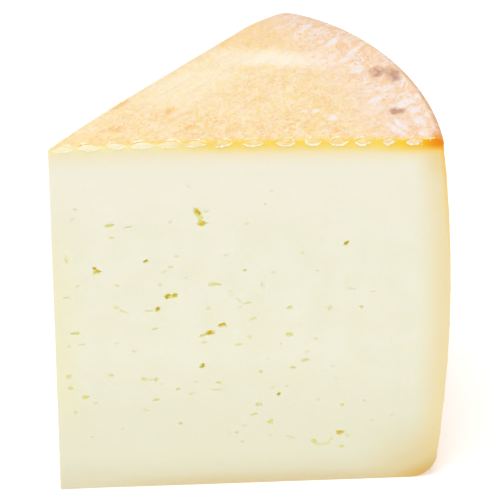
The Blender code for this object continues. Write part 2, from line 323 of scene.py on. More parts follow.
def wall_relief(arc, height):
    """How far the basket bands of the wall lie below the smooth surface."""
    band = height / WALL_BAND + WALL_BAND_SHIFT
    inside = abs(band % 1 - 0.5) * WALL_BAND
    strand = wave(arc / WALL_STRAND_PITCH + inside * WALL_STRAND_LEAN / WALL_STRAND_PITCH)
    seam = wave(band + 0.5) ** WALL_SEAM_SHARPNESS
    patchy = WALL_LEFT + (1 - WALL_LEFT) * uneven(arc, height, WALL_CROWDING, 2.0)
    rough = 1 + grain(arc, height, WALL_GRAIN_CROWDING, 4.0)
    pressed = WALL_STRAND_SHARE * strand + WALL_SEAM_SHARE * seam
    return WALL_DEPTH * patchy * pressed + RIND_GRAIN * rough


def section(direction, apex):
    """Smooth points of the wheel's skin on one ray in plan, from the apex over the rim
    and down the wall to the base. Each has its distance from the apex, its height, its
    outward slope and what relief it carries."""
    lean = apex.dot(direction)

    def reach(radius):
        return -lean + math.sqrt(lean ** 2 - apex.length_squared + radius ** 2)

    edge = apex + direction * reach(TOP_RADIUS)
    width, depth = rim_size(math.atan2(edge.y, edge.x))
    start = wall_radius(CREST - TOP_FALL - depth) - width
    points = []
    for ring in range(1, TOP_RINGS + 1):
        out = reach(start) * ring / TOP_RINGS
        points.append((out, top_height((apex + direction * out).length), 0.0, 1.0, "top"))
    foot = top_height(start) - depth
    power = 2 / RIM_FULLNESS
    for row in range(1, RIM_ROWS + 1):
        angle = math.pi / 2 * row / RIM_ROWS
        out = reach(start + width * math.sin(angle) ** power)
        up = depth * max(math.cos(angle), 0.0) ** power
        kind = "top" if row < RIM_ROWS // 2 else "rim"
        points.append((out, foot + up, math.sin(angle), math.cos(angle), kind))
    base_width, base_depth = BASE_ROUND
    for row in range(1, WALL_ROWS + 1):
        height = foot + (base_depth - foot) * row / WALL_ROWS
        points.append((reach(wall_radius(height)), height, 1.0, 0.0, "wall"))
    for row in range(1, BASE_ROWS + 1):
        angle = math.pi / 2 * row / BASE_ROWS
        out = reach(wall_radius(base_depth) - base_width * (1 - math.cos(angle)))
        height = base_depth * (1 - math.sin(angle))
        points.append((out, height, math.cos(angle), -math.sin(angle), "base"))
    foot_reach = points[-1][0]
    for ring in range(BASE_RINGS - 1, 0, -1):
        points.append((foot_reach * ring / BASE_RINGS, 0.0, 0.0, -1.0, "base"))
    return points


def skin_point(direction, apex, point):
    """A point of the skin with its relief pressed in."""
    out, height, slope_out, slope_up, kind = point
    place = apex + direction * out
    if kind == "base":
        sunk = 0.0
    elif kind == "wall":
        sunk = wall_relief(math.atan2(place.y, place.x) * REACH, height)
    else:
        sunk = top_relief(place.x, place.y)
    if kind == "rim":
        sunk *= RIM_RELIEF
    place = place - direction * (sunk * slope_out)
    return Vector((place.x, place.y, height - sunk * slope_up))


def build_wheel_block():
    """A slice of the whole wheel, a little wider than the wedge on both sides."""
    middle = CUT_ANGLE / 2
    apex = Vector((-math.cos(middle), -math.sin(middle))) * APEX_BACK
    shape = bmesh.new()
    apex_top = shape.verts.new((apex.x, apex.y, top_height(APEX_BACK)))
    apex_base = shape.verts.new((apex.x, apex.y, 0.0))
    rows = []
    for column in range(COLUMNS + 1):
        share = column / COLUMNS
        turn = -SPARE_TURN + (CUT_ANGLE + 2 * SPARE_TURN) * share
        direction = Vector((math.cos(turn), math.sin(turn)))
        rows.append([shape.verts.new(skin_point(direction, apex, point))
                     for point in section(direction, apex)])
    for near, far in zip(rows, rows[1:]):
        shape.faces.new((apex_top, near[0], far[0]))
        for step in range(len(near) - 1):
            shape.faces.new((near[step], near[step + 1], far[step + 1], far[step]))
        shape.faces.new((near[-1], apex_base, far[-1]))
    shape.faces.new([apex_base, apex_top] + rows[0])
    shape.faces.new([apex_top, apex_base] + rows[-1][::-1])
    bmesh.ops.recalc_face_normals(shape, faces=shape.faces)
    return shape


# The cuts and the eyes

def cut_relief(out, up, side):
    """How far the cut lies behind its plane, with the knife's slow waves."""
    fade = min(out / CUT_FADE, 1.0) ** 2
    slow = noise.noise(Vector((out * WAVE_CROWDING[0], up * WAVE_CROWDING[1], side)))
    drag = noise.noise(Vector((out * DRAG_CROWDING[0], up * DRAG_CROWDING[1], side + 4.0)))
    return fade * (CUT_INSET + CUT_WAVE * slow + CUT_DRAG * drag)


def build_knife_prism():
    """The space between both cuts: what the wedge keeps of the wheel."""
    across = Vector((-SLOPE_Y, SLOPE_X, 0))
    steps_out = round(KNIFE_REACH / KNIFE_CELL)
    steps_up = round((CREST + 2 * KNIFE_OVERRUN) / KNIFE_CELL)
    shape = bmesh.new()
    front, back = [], []
    for up_step in range(steps_up + 1):
        up = -KNIFE_OVERRUN + (CREST + 2 * KNIFE_OVERRUN) * up_step / steps_up
        tip = shape.verts.new((0, 0, up))
        front_row, back_row = [tip], [tip]
        for out_step in range(1, steps_out + 1):
            out = KNIFE_REACH * out_step / steps_out
            front_row.append(shape.verts.new((out, cut_relief(out, up, FRONT_WAVES), up)))
            along = Vector((SLOPE_X * out, SLOPE_Y * out, up))
            back_row.append(shape.verts.new(along - across * cut_relief(out, up, BACK_WAVES)))
        front.append(front_row)
        back.append(back_row)
    for wall in (front, back):
        for lower, upper in zip(wall, wall[1:]):
            for step in range(steps_out):
                shape.faces.new((lower[step], lower[step + 1], upper[step + 1], upper[step]))
    for lower, upper in zip(range(steps_up), range(1, steps_up + 1)):
        shape.faces.new((front[lower][-1], back[lower][-1], back[upper][-1], front[upper][-1]))
    for level in (0, -1):
        shape.faces.new(front[level] + back[level][:0:-1])
    bmesh.ops.recalc_face_normals(shape, faces=shape.faces)
    return shape


def press_eye(shape, eye, depth, side, draw):
    """Adds a lumpy pebble half sunk in a cut, which leaves one eye when taken away."""
    out, up, length, width, tilt, taper = eye
    fine = 3 if length > FINE_EYE else 2
    pebble = bmesh.ops.create_icosphere(shape, subdivisions=fine, radius=1.0)["verts"]
    bend = draw.uniform(-EYE_BEND, EYE_BEND)
    sunk = cut_relief(out, up, FRONT_WAVES if side == FRONT_SIDE else BACK_WAVES)
    seed = Vector((draw.uniform(0, 99), draw.uniform(0, 99), draw.uniform(0, 99)))
    lean = Matrix.Rotation(math.radians(-tilt), 3, "Y")
    face = Matrix.Rotation(CUT_ANGLE if side == BACK_SIDE else 0.0, 3, "Z")
    for vert in pebble:
        lump = 1 + EYE_LUMPS * noise.noise(vert.co * EYE_LUMP_CROWDING + seed)
        along, inward, across = vert.co * lump
        across = across * (1 + taper * along) + bend * (1 - along * along)
        place = Vector((along * length / 2, inward * depth, across * width * EYE_BREADTH / 2))
        vert.co = face @ (lean @ place + Vector((out, side * sunk, up)))


def scatter_eyes(count, lengths, taken, draw):
    """Places and sizes of eyes drawn at random, kept apart from those already there."""
    low, high = lengths
    eyes = []
    while len(eyes) < count:
        out = draw.uniform(*EYE_ZONE_OUT)
        up = draw.uniform(*EYE_ZONE_UP)
        if any(math.dist((out, up), eye[:2]) < EYE_SPACING for eye in eyes + taken):
            continue
        length = low + (high - low) * draw.random() ** 2
        width = max(length * draw.uniform(*EYE_SLIMNESS), EYE_LEAST_WIDTH)
        eyes.append((out, up, length, width, draw.uniform(*EYE_TILTS), draw.uniform(*EYE_TAPERS)))
    return eyes


def stands_clear(eye, others):
    """Whether an eye's pebble can touch none of the others."""
    return all(math.dist(eye[:2], other[:2]) > (eye[2] + other[2]) * EYE_CLEARANCE
               for other in others)


def build_eyes(draw):
    """All eyes as sets of pebbles, in which none touches another of its own set."""
    deep, middling, faint = EYE_DEPTHS
    groups = [(DEEP_EYES, deep), (MIDDLING_EYES, middling), (FAINT_EYES, faint)]
    placed = [eye for eyes, depth in groups for eye in eyes]
    groups.append((scatter_eyes(PINHOLES, PINHOLE_LENGTH, placed, draw), faint))
    sets = [(bmesh.new(), []) for number in range(EYE_SETS)]
    for eyes, depth in groups:
        for eye in eyes:
            shape, members = next(own for own in sets if stands_clear(eye, own[1]))
            members.append(eye)
            press_eye(shape, eye, depth, FRONT_SIDE, draw)
    for eye in scatter_eyes(BACK_EYES, BACK_EYE_LENGTH, [], draw):
        depth = deep if eye[2] > FINE_EYE and draw.random() < BACK_DEEP_SHARE else middling
        press_eye(sets[0][0], eye, depth, BACK_SIDE, draw)
    return [shape for shape, members in sets]


# Meshes into pieces

def new_piece(name, shape, materials, slot_of):
    """Puts a shape drawn in millimetres from the tip into place as an object."""
    shape.transform(Matrix.Translation(LOW) @ Matrix.Scale(MM, 4))
    mesh = bpy.data.meshes.new(name)
    shape.to_mesh(mesh)
    shape.free()
    for material in materials:
        mesh.materials.append(material)
    mesh.polygons.foreach_set("material_index", [slot_of] * len(mesh.polygons))
    piece = bpy.data.objects.new(name, mesh)
    bpy.context.scene.collection.objects.link(piece)
    return piece


def carve(piece, cutter, operation):
    """Cuts a piece with another and then removes the other."""
    step = piece.modifiers.new("cut", "BOOLEAN")
    step.operation = operation
    step.object = cutter
    step.solver = "MANIFOLD"
    seen = piece.evaluated_get(bpy.context.evaluated_depsgraph_get())
    carved = bpy.data.meshes.new_from_object(seen)
    piece.modifiers.clear()
    piece.data = carved
    bpy.data.objects.remove(cutter, do_unlink=True)


def join(piece, other):
    """Makes one piece of two that share their materials."""
    both = bmesh.new()
    both.from_mesh(piece.data)
    both.from_mesh(other.data)
    both.to_mesh(piece.data)
    both.free()
    bpy.data.objects.remove(other, do_unlink=True)
    return piece


# Finishes

NOISE_ROUGHNESS = 0.55
STROKE_WANDER = 3.2
LIGHT_SPREAD = (1.0, 0.7, 0.35)
LIGHT_DEPTH = 0.8 * MM


def screen(red, green, blue):
    """A colour as seen on a screen, turned into light."""
    def light(level):
        level = level / 255
        return level / 12.92 if level <= 0.04045 else ((level + 0.055) / 1.055) ** 2.4
    return (light(red), light(green), light(blue), 1.0)


class Flow:
    """A number or colour that varies over a surface, for use in plain expressions."""

    def __init__(self, finish, socket):
        self.finish = finish
        self.socket = socket

    def maths(self, operation, first, second=0.0):
        return self.finish.node("ShaderNodeMath", {"operation": operation}, {0: first, 1: second})

    def __add__(self, other):
        return self.maths("ADD", self, other)

    def __sub__(self, other):
        return self.maths("SUBTRACT", self, other)

    def __mul__(self, other):
        return self.maths("MULTIPLY", self, other)

    def __truediv__(self, other):
        return self.maths("DIVIDE", self, other)

    def __pow__(self, other):
        return self.maths("POWER", self, other)

    def __mod__(self, other):
        return self.maths("FLOORED_MODULO", self, other)

    def __rsub__(self, other):
        return self.maths("SUBTRACT", other, self)

    def __abs__(self):
        return self.maths("ABSOLUTE", self)

    __radd__ = __add__
    __rmul__ = __mul__

    def least(self, other):
        return self.maths("MINIMUM", self, other)

    def most(self, other):
        return self.maths("MAXIMUM", self, other)

    def wave(self):
        """A smooth swing from 0 to 1 and back over each whole turn."""
        return 0.5 - 0.5 * self.maths("COSINE", self * math.tau)

    def rise(self, start, end):
        """0 up to start, then smoothly to 1 at end."""
        return self.finish.node(
            "ShaderNodeMapRange", {"interpolation_type": "SMOOTHSTEP"},
            {"Value": self, "From Min": start, "From Max": end})

    def fall(self, start, end):
        """1 up to start, then smoothly to 0 at end."""
        return 1 - self.rise(start, end)


class Finish:
    """A procedural material, with places measured in millimetres from the tip."""

    def __init__(self, name, colour):
        self.colour = colour
        self.material = bpy.data.materials.new(name)
        self.material.use_nodes = True
        self.nodes = self.material.node_tree.nodes
        self.links = self.material.node_tree.links
        self.shader = self.nodes["Principled BSDF"]
        inside = self.node("ShaderNodeTexCoord", {}, {}, "Object")
        from_tip = self.node("ShaderNodeVectorMath", {"operation": "SUBTRACT"}, {0: inside, 1: LOW})
        self.place = self.node("ShaderNodeVectorMath", {"operation": "SCALE"},
                               {0: from_tip, "Scale": 1 / MM})
        self.x, self.y, self.z = (self.part(self.place, axis) for axis in "XYZ")
        self.radius = (self.x * self.x + self.y * self.y) ** 0.5
        self.upward = self.part(self.node("ShaderNodeNewGeometry", {}, {}, "Normal"), "Z")
        self.bent_x = self.x + (self.grain(2.6) - 0.5) * STROKE_WANDER
        self.bent_y = self.y + (self.grain(3.1) - 0.5) * STROKE_WANDER

    def node(self, kind, settings, sockets, output=0):
        """Adds a node, sets it up, feeds its sockets and gives one of its outputs."""
        made = self.nodes.new(kind)
        for name, value in settings.items():
            setattr(made, name, value)
        for name, value in sockets.items():
            self.feed(made.inputs[name], value)
        return Flow(self, made.outputs[output])

    def feed(self, socket, value):
        if isinstance(value, Flow):
            self.links.new(value.socket, socket)
        else:
            socket.default_value = value

    def part(self, vector, axis):
        return self.node("ShaderNodeSeparateXYZ", {}, {"Vector": vector}, axis)

    def vector(self, x, y, z):
        return self.node("ShaderNodeCombineXYZ", {}, {"X": x, "Y": y, "Z": z})

    def blend(self, first, second, share):
        """A colour between two, by share."""
        return self.node("ShaderNodeMix", {"data_type": "RGBA"}, {0: share, 6: first, 7: second}, 2)

    def paint(self, colour, share):
        """Lays a colour over what is there, by share."""
        self.colour = self.blend(self.colour, colour, share)

    def grain(self, size, detail=3.0, place=None):
        """Cloudy noise with spots about as large as size."""
        return self.node(
            "ShaderNodeTexNoise", {},
            {"Vector": place or self.place, "Scale": 1 / size, "Detail": detail,
             "Roughness": NOISE_ROUGHNESS})

    def strokes(self, angle, length, width, seed=0.0):
        """Noise drawn out into strokes, which run across the top at an angle."""
        turn = math.radians(angle)
        ahead = self.bent_x * (math.cos(turn) / length) + self.bent_y * (math.sin(turn) / length)
        aside = self.bent_y * (math.cos(turn) / width) - self.bent_x * (math.sin(turn) / width)
        return self.grain(1.0, 2.0, self.vector(ahead, aside, self.z * 0.5 + seed))

    def specks(self, size):
        """Distance to the nearest of many points, scattered about size apart."""
        return self.node("ShaderNodeTexVoronoi", {}, {"Vector": self.place, "Scale": 1 / size})

    def spot(self, x, y, length, width, angle, ragged):
        """A patch on the top that is drawn out at an angle and has a ragged edge."""
        turn = math.radians(angle)
        ahead = (self.x - x) * (math.cos(turn) / length) + (self.y - y) * (math.sin(turn) / length)
        aside = (self.y - y) * (math.cos(turn) / width) - (self.x - x) * (math.sin(turn) / width)
        return ((ahead * ahead + aside * aside) ** 0.5 + ragged).fall(0.3, 1.2)

    def spots(self, patches, ragged):
        """Several patches taken together."""
        whole = 0.0
        for patch in patches:
            whole = self.spot(*patch, ragged).most(whole)
        return whole

    def wear(self, roughness, height, distance, subsurface, shine):
        """Connects what varies and sets what doesn't."""
        bump = self.node("ShaderNodeBump", {}, {"Height": height, "Distance": distance}, "Normal")
        self.feed(self.shader.inputs["Base Color"], self.colour)
        self.feed(self.shader.inputs["Roughness"], roughness)
        self.feed(self.shader.inputs["Normal"], bump)
        self.shader.inputs["Specular IOR Level"].default_value = shine
        self.shader.inputs["Subsurface Weight"].default_value = subsurface
        self.shader.inputs["Subsurface Radius"].default_value = LIGHT_SPREAD
        self.shader.inputs["Subsurface Scale"].default_value = LIGHT_DEPTH
        return self.material


# Colours of the paste
IVORY = screen(241, 239, 219)
IVORY_CLOUD = screen(238, 236, 211)
# Painted light high on the cut and painted shade low on it
IVORY_PAINTED_LIGHT = screen(244, 239, 222)
IVORY_PAINTED_SHADE = screen(230, 228, 203)
PASTE_AT_WALL = screen(240, 220, 166)
PASTE_AT_FLOOR = screen(224, 216, 185)
PASTE_AT_BASE = screen(222, 206, 164)
PASTE_IN_CORNER = screen(226, 202, 138)
OCHRE_FOOT = screen(214, 170, 72)
PASTE_AT_TIP = screen(241, 235, 196)
PASTE_UNDER_RIND = screen(248, 227, 170)
GLOW_AT_TIP = screen(250, 239, 176)
GLOW = screen(251, 217, 88)
GLOW_AT_WALL = screen(250, 203, 4)
HIGH_CORNER = screen(236, 206, 134)
WALL_EDGE = screen(247, 198, 84)
ORANGE_CORNER = screen(240, 138, 0)

# Colours inside the eyes, partly the paste's ochre and partly painted shade that deepens with depth,
# with the depths in the paste where each begins and is full
EYE_TINTS_AND_PAINTED_SHADE = (
    (screen(233, 231, 172), 0.07, 0.17),
    (screen(234, 229, 136), 0.18, 0.35),
    (screen(236, 206, 66), 0.36, 0.62),
)


def paste_finish():
    """Pale paste, deeper yellow under the rind, and ochre with painted shade inside its eyes."""
    made = Finish("sheep_milk_paste", IVORY)
    under_top = TOP_HEIGHT - TOP_FALL * (made.radius / TOP_RADIUS) ** 2.0 - made.z
    share = made.z / (CREST - TOP_FALL)
    under_wall = REACH - WALL_CURVE * (share - WALL_BELLY) ** 2.0 - made.radius
    cloud = made.grain(9.0)
    fine = made.grain(0.9, 4.0)
    ragged = (cloud - 0.5) * 3.0
    outward = made.radius.rise(8, 96)

    made.paint(IVORY_CLOUD, cloud.rise(0.3, 0.7))
    # Painted light towards the top of the cut and painted shade towards its base, as the light falls.
    high, low = made.z.rise(60, 98), made.z.fall(8, 48)
    made.paint(IVORY_PAINTED_LIGHT, high * 0.6)
    made.paint(IVORY_PAINTED_SHADE, low * 0.8)
    near_wall = (under_wall + ragged).fall(0, 9)
    made.paint(PASTE_AT_WALL, near_wall * 0.85)
    near_floor = (made.z + ragged).fall(0, 11)
    made.paint(PASTE_AT_FLOOR, near_floor * 0.8)
    near_base = (made.z + ragged * 0.5).fall(0.0, 4.5)
    made.paint(PASTE_AT_BASE, near_base * made.x.rise(0, 40))
    corner = (made.z + ragged).fall(2, 22) * (under_wall + ragged).fall(1, 24)
    made.paint(PASTE_IN_CORNER, corner * 0.75)
    foot = (made.z + under_wall * 0.6 + ragged * 0.5).fall(1, 9) * made.x.rise(60, 90)
    made.paint(OCHRE_FOOT, foot * 0.8)
    tip_strip = made.x.fall(1, 9) * made.z.fall(60, 92) * made.z.rise(6, 34)
    made.paint(PASTE_AT_TIP, tip_strip * 0.6)
    warm = (under_top + ragged * 0.4).fall(1, 8)
    made.paint(PASTE_UNDER_RIND, warm * (0.6 + 0.4 * outward))
    glow = made.blend(GLOW_AT_TIP, GLOW, outward.rise(0.03, 0.32))
    glow = made.blend(glow, GLOW_AT_WALL, made.x.rise(78, 87))
    lowered = made.x.rise(70, 89) * 0.8
    glow_reach = 3.2 + outward.rise(0.0, 0.4) * 0.7
    glow_share = 1 - (under_top - lowered + ragged * 0.25 - 0.5) / glow_reach
    high_corner = under_top.fall(3, 14) * under_wall.fall(0, 7)
    made.paint(HIGH_CORNER, high_corner * 0.7)
    made.paint(glow, glow_share.rise(0, 1))
    edge = under_wall.fall(0.0, 1.5) * high
    made.paint(WALL_EDGE, edge * 0.8)
    sunny = made.x.rise(86.5, 93.0) * (under_top - lowered + ragged * 0.2).fall(0.6, 2.9)
    made.paint(ORANGE_CORNER, sunny)

    behind_back = made.x * SLOPE_Y - made.y * SLOPE_X
    surface = (made.radius / CUT_FADE).least(1.0) ** 2.0 * CUT_INSET
    eye_depth = made.y.least(behind_back) - surface
    # The eyes are painted deeper the further they reach into the paste: partly their own ochre,
    # partly painted shade.
    for tint, start, full in EYE_TINTS_AND_PAINTED_SHADE:
        made.paint(tint, eye_depth.rise(start, full))

    streaks = made.grain(1.0, 2.0, made.vector(made.x * 0.08, made.y * 0.08, made.z))
    height = fine * 0.7 + streaks * 0.5 + cloud
    return made.wear(0.42 + 0.16 * fine, height,
                     distance=0.12 * MM, subsurface=0.12, shine=0.12)


# Colours of the wall and the base
WALL_PEACH = screen(252, 226, 182)
WALL_CLOUD = screen(249, 211, 158)
WALL_GROOVE = screen(240, 188, 124)
WALL_BLOOM = screen(250, 236, 220)
WALL_SMOKE = screen(240, 186, 122)
WALL_AT_FLOOR = screen(234, 184, 118)


def wall_colour(made, cloud):
    """Colour of the wall and the base: deeper peach in the basket's grooves, with bloom."""
    arc = made.y.maths("ARCTAN2", made.y, made.x) * REACH
    band = made.z / WALL_BAND + WALL_BAND_SHIFT
    inside = abs(band % 1.0 - 0.5) * WALL_BAND
    strand = ((arc + inside * WALL_STRAND_LEAN) / WALL_STRAND_PITCH).wave()
    seam = (band + 0.5).wave() ** WALL_SEAM_SHARPNESS
    side = 1 - abs(made.upward)
    busy = made.grain(12.0, 1.0).rise(0.35, 0.65)
    round_wall = made.vector(arc / 3.5, made.z / 1.6, made.radius * 0.3)

    wall = made.blend(WALL_PEACH, WALL_CLOUD, cloud.rise(0.35, 0.65))
    groove = (strand.rise(0.3, 1.0) * (0.15 + 0.85 * busy)).most(seam * 0.8) * side
    wall = made.blend(wall, WALL_GROOVE, groove * 0.55)
    bloom = made.grain(1.0, 3.0, round_wall).rise(0.5, 0.64) * (1 - groove * 0.7)
    wall = made.blend(wall, WALL_BLOOM, bloom * (0.35 + 0.45 * busy))
    smoke = made.grain(18.0, 2.0).rise(0.5, 0.7)
    wall = made.blend(wall, WALL_SMOKE, smoke * 0.45)
    near_floor = made.z.fall(1, 10)
    return made.blend(wall, WALL_AT_FLOOR, near_floor * 0.6)


# Colours of the top's rind
PEACH = screen(250, 227, 182)
PEACH_CLOUD = screen(247, 214, 162)
YELLOW_TONE = screen(247, 220, 132)
CREAM_TONE = screen(253, 232, 206)
PALE_CLOUD = screen(251, 230, 198)
LONG_PALE_STROKE = screen(251, 234, 200)
ORANGE_STROKE = screen(247, 196, 124)
YELLOW_STROKE = screen(245, 220, 116)
PALE_STROKE = screen(255, 238, 218)
CROSSED_STROKE = screen(247, 202, 146)
PALE_MOTTLE = screen(255, 241, 220)
ORANGE_FLECK = screen(242, 176, 92)
RIND_AT_TIP = screen(253, 236, 194)
RIND_AT_BACK = screen(253, 240, 210)
SHADED_RIND_BEYOND_HIGHLIGHT = screen(249, 212, 160)
PAINTED_HIGHLIGHT_BAND = screen(251, 240, 219)
SHOULDER_INNER = screen(251, 223, 194)
SHOULDER_OUTER = screen(246, 209, 180)
BLOOM_STRIPE = screen(247, 228, 216)
PALE_CHIP = screen(253, 242, 232)
DEEP_CHIP = screen(240, 190, 140)
BETWEEN_STRIPES = screen(246, 200, 146)
WHITE_BLOOM = screen(246, 236, 232)
MOULD_EDGE = screen(228, 184, 138)
MOULD = screen(186, 136, 128)
MOULD_DOT = screen(186, 160, 146)
SMOKY_ORANGE = screen(245, 182, 94)
NEAR_TIP = screen(247, 212, 132)
CUT_EDGE = screen(249, 212, 84)
RIM_CORNER = screen(240, 160, 44)
DARK_RIM_EDGE = screen(222, 164, 112)


def rind_finish():
    """Smoked peach rind with the mould's strands, pale bloom, a few mould patches, and a painted
    highlight band with painted shade beyond it.
    """
    made = Finish("smoked_rind", PEACH)
    cloud = made.grain(7.0)
    fine = made.grain(0.5, 3.0)
    ragged = (made.grain(2.4) - 0.5) * 2.0
    busy = 0.5 + 0.5 * made.grain(8.0, 1.0).rise(0.4, 0.6)
    near_cut = made.y.fall(6, 20)

    made.paint(PEACH_CLOUD, cloud.rise(0.35, 0.65))
    tone = made.grain(1.6, 2.0)
    made.paint(YELLOW_TONE, tone.fall(0.36, 0.47) * 0.5)
    made.paint(CREAM_TONE, tone.rise(0.53, 0.64) * 0.5)
    pale_cloud = made.grain(3.0).rise(0.5, 0.7)
    made.paint(PALE_CLOUD, pale_cloud * 0.6)
    long_pale = made.strokes(59, 6.0, 1.6, 33.0).rise(0.48, 0.62)
    made.paint(LONG_PALE_STROKE, long_pale * 0.4)
    orange = made.strokes(57, 1.7, 0.8, 5.0).rise(0.52, 0.66)
    made.paint(ORANGE_STROKE, orange * busy * (0.35 + 0.3 * near_cut))
    yellow = made.strokes(58, 1.8, 0.8, 8.0).rise(0.54, 0.67) * made.x.fall(50, 90)
    made.paint(YELLOW_STROKE, yellow * 0.6)
    pale = made.strokes(56, 1.5, 0.75, 15.0).rise(0.54, 0.67)
    made.paint(PALE_STROKE, pale * 0.55)
    crossed = made.strokes(125, 1.6, 0.6, 3.0).rise(0.54, 0.66)
    made.paint(CROSSED_STROKE, crossed * busy * 0.6)
    mottle = made.grain(0.75, 2.0).rise(0.54, 0.7)
    made.paint(PALE_MOTTLE, mottle * 0.45)
    flecks = made.strokes(60, 1.3, 0.7, 50.0).rise(0.6, 0.72)
    made.paint(ORANGE_FLECK, flecks * busy * (0.4 + 0.5 * near_cut))

    around_tip = made.radius.fall(8, 30)
    made.paint(RIND_AT_TIP, around_tip * 0.45)
    pale_back = made.spot(*PALE_BACK, ragged * 0.2)
    made.paint(RIND_AT_BACK, pale_back * 0.6)
    # Painted shade: the rind beyond the highlight band is painted deeper tan, where the top turns
    # down and away from the light.
    painted_shade_beyond_highlight = (made.y + ragged * 2.0).rise(43, 48)
    made.paint(SHADED_RIND_BEYOND_HIGHLIGHT, painted_shade_beyond_highlight * 0.5)
    # Painted highlight: a pale band is painted across the top where the soft light's reflection
    # falls.
    highlight_band_middle = 39.0 - (made.x - 56.0) * 0.08
    band = abs(made.y + ragged * 0.8 - highlight_band_middle).fall(1, 6)
    band = band * (made.x + ragged * 2.0).rise(30, 58) * (made.x + ragged * 3.0).fall(68, 80)
    made.paint(PAINTED_HIGHLIGHT_BAND, band * 0.9)

    shoulder = (made.radius + ragged * 3.0).rise(68, 86) * made.x.rise(52, 64)
    outer = made.radius.rise(78, 90)
    shoulder_tone = made.blend(SHOULDER_INNER, SHOULDER_OUTER, outer)
    made.paint(shoulder_tone, shoulder * 0.7)
    far_stripes = made.strokes(57, 5.5, 1.5, 21.0) * made.y.rise(36, 46)
    side_stripes = made.strokes(48, 4.0, 1.9, 24.0) * made.y.fall(36, 46)
    bloom = (far_stripes + side_stripes).rise(0.42, 0.62) * shoulder
    made.paint(BLOOM_STRIPE, bloom * 0.9)
    chips = made.grain(1.2, 3.0, made.vector(made.bent_x, made.bent_y, made.z + 60.0))
    made.paint(PALE_CHIP, chips.rise(0.54, 0.64) * shoulder * 0.6)
    made.paint(DEEP_CHIP, chips.fall(0.36, 0.46) * shoulder * 0.5)
    between = made.strokes(58, 4.0, 0.9, 40.0).rise(0.5, 0.66) * shoulder
    made.paint(BETWEEN_STRIPES, between * 0.6)

    patches = made.spots(BLOOM_PATCHES, ragged * 0.4)
    made.paint(WHITE_BLOOM, patches * 0.9)

    mould = made.spots(MOULD_PATCHES, ragged * 0.35)
    streaks = made.strokes(84, 4.0, 0.9, 30.0).rise(0.38, 0.62)
    made.paint(MOULD_EDGE, mould * 0.7)
    dark_mould = mould.rise(0.1, 1.0) * (0.25 + 0.75 * streaks)
    made.paint(MOULD, dark_mould * 0.75)
    dots = made.specks(2.3).fall(0.05, 0.13) * (0.25 + 0.75 * shoulder)
    made.paint(MOULD_DOT, dots * 0.8)
    smoky = made.spots(SMOKY_PATCHES, ragged * 0.6)
    smoky = smoky * (0.3 + 0.7 * made.grain(0.9, 2.0).rise(0.44, 0.58))
    made.paint(SMOKY_ORANGE, smoky * 0.7)
    near_tip = made.x.fall(14, 24) * (made.y + ragged).fall(1, 7)
    made.paint(NEAR_TIP, near_tip * 0.4)
    cut_edge = (made.y + ragged * 0.5).fall(0.0, 2.2) * made.x.rise(2, 30)
    made.paint(CUT_EDGE, cut_edge * 0.75)
    corner = (made.x + ragged * 0.6).rise(90.2, 92.0) * (made.y + ragged * 0.9).fall(1.0, 4.8)
    made.paint(RIM_CORNER, corner)

    wall = wall_colour(made, cloud)
    made.colour = made.blend(wall, made.colour, made.upward.rise(0.1, 0.5))
    # Darker in patches along the rim's outer edge, on its upper side and towards the front cut.
    dark_rim_edge = (made.radius + ragged * 0.3).rise(91.8, 93.0) * made.upward.rise(0.0, 0.4)
    dark_rim_edge = dark_rim_edge * made.y.fall(30, 44) * (0.3 + 0.7 * made.grain(2.0).rise(0.4, 0.55))
    made.paint(DARK_RIM_EDGE, dark_rim_edge * 0.7)

    # The bump is flattened under the painted highlight band.
    height = (fine * 0.6 - orange * 0.4 + pale * 0.4 + made.grain(0.35, 2.0) * 0.3) * (1 - band * 0.8)
    return made.wear(0.5 + 0.2 * fine, height,
                     distance=0.12 * MM, subsurface=0.06, shine=0.2)


# Colours of the skin round the ridges' cut ends, partly a painted highlight
WAX_AND_HIGHLIGHT = screen(255, 248, 224)
WAX_CLOUD = screen(252, 234, 184)
WAX_ROSY = screen(254, 240, 228)
WAX_PEACHY = screen(250, 216, 172)


def wax_and_highlight_finish():
    """Pale waxy skin of the ridges' cut ends, whose pale colour is partly a painted highlight."""
    made = Finish("pale_waxy_skin_and_highlight", WAX_AND_HIGHLIGHT)
    cloud = made.grain(1.2, 3.0)
    made.paint(WAX_CLOUD, made.grain(0.8).rise(0.48, 0.68))
    rosy = made.x.rise(68, 80) * cloud.rise(0.4, 0.55)
    made.paint(WAX_ROSY, rosy * 0.8)
    peachy = made.grain(0.7, 2.0).rise(0.48, 0.6) * made.x.rise(74, 84)
    made.paint(WAX_PEACHY, peachy * 0.7)
    return made.wear(0.4 + 0.2 * cloud, made.grain(0.4, 2.0),
                     distance=0.08 * MM, subsurface=0.1, shine=0.3)


# Colours of the ridges' cores
CORE = screen(251, 228, 172)
CORE_CLOUD = screen(249, 217, 148)
CORE_AT_TIP = screen(255, 245, 212)
CORE_AT_WALL = screen(253, 226, 190)


def core_finish():
    """Warm core of the ridges' cut ends."""
    made = Finish("warm_ridge_core", CORE)
    cloud = made.grain(1.5, 3.0)
    made.paint(CORE_CLOUD, cloud.rise(0.4, 0.6))
    made.paint(CORE_AT_TIP, made.x.fall(18, 44) * 0.85)
    made.paint(CORE_AT_WALL, made.x.rise(70, 90) * 0.6)
    return made.wear(0.5 + 0.1 * cloud, made.grain(0.5, 2.0),
                     distance=0.05 * MM, subsurface=0.1, shine=0.15)


# Pieces

